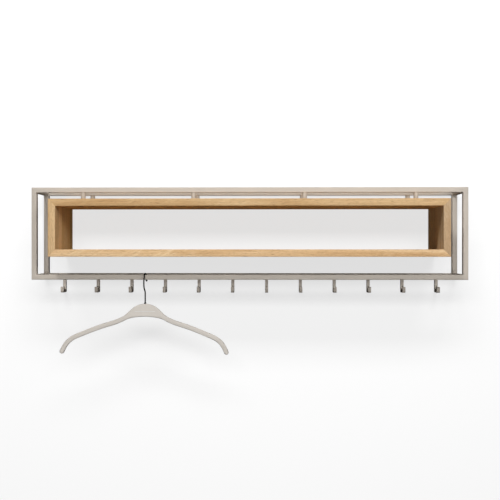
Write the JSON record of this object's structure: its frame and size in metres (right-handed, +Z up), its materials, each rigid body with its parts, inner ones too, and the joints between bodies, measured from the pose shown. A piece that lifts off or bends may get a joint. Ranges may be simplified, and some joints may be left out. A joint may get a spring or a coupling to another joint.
{
  "type": "wall hook rack",
  "caption": "Wall-mounted square-tube steel rack with an open oak box hung inside it, a row of bent coat hooks below and a sliding coat hanger.",
  "frame": {"origin": "middle of the rear top rail's back face, on the wall", "axes": "+X along the rack to the right as seen from the room, +Y into the wall, +Z up"},
  "size_m": [1.1, 0.174, 0.4241],
  "materials": {
    "steel_paint": "matt fine-textured powder coat, warm grey",
    "oak": "oiled oak, satin",
    "zinc": "zinc plated",
    "black_wire": "satin black",
    "black_plastic": "satin black",
    "hanger_paint": "matt lacquer in the frame's warm grey"
  },
  "bodies": {
    "rack": {"front_top_rail": "steel_paint", "front_bottom_rail": "steel_paint", "front_left_upright": "steel_paint", "front_right_upright": "steel_paint", "rear_top_rail": "steel_paint", "rear_bottom_rail": "steel_paint", "rear_left_upright": "steel_paint", "rear_right_upright": "steel_paint", "cross_tube_top_left": "steel_paint", "cross_tube_top_right": "steel_paint", "cross_tube_bottom_left": "steel_paint", "cross_tube_bottom_right": "steel_paint", "front_post_1": "steel_paint", "front_post_2": "steel_paint", "front_post_3": "steel_paint", "front_post_4": "steel_paint", "rear_post_1": "steel_paint", "rear_post_2": "steel_paint", "rear_post_3": "steel_paint", "rear_post_4": "steel_paint", "front_screw_1": "zinc", "front_screw_2": "zinc", "front_screw_3": "zinc", "front_screw_4": "zinc", "rear_screw_1": "zinc", "rear_screw_2": "zinc", "rear_screw_3": "zinc", "rear_screw_4": "zinc", "oak_top_board": "oak", "oak_bottom_board": "oak", "oak_left_board": "oak", "oak_right_board": "oak", "hook_01": "steel_paint", "hook_02": "steel_paint", "hook_03": "steel_paint", "hook_04": "steel_paint", "hook_05": "steel_paint", "hook_06": "steel_paint", "hook_07": "steel_paint", "hook_08": "steel_paint", "hook_09": "steel_paint", "hook_10": "steel_paint", "hook_11": "steel_paint", "hook_12": "steel_paint"},
    "hanger_hook": {"hanger_wire_hook": "black_wire", "hanger_tip_ball": "black_plastic", "hanger_collar": "black_plastic"},
    "hanger": {"hanger_body": "hanger_paint"}
  },
  "joints": [
    {"name": "hanger_slide", "type": "slide", "parent": "rack", "child": "hanger_hook", "axis": [1, 0, 0], "range_m": [-0.27, 0.796]},
    {"name": "hanger_swivel", "type": "hinge", "parent": "hanger_hook", "child": "hanger", "pos_m": [-0.2628, -0.1135, -0.2876], "axis": [0, 0, 1], "range_deg": [-32, 26]}
  ]
}
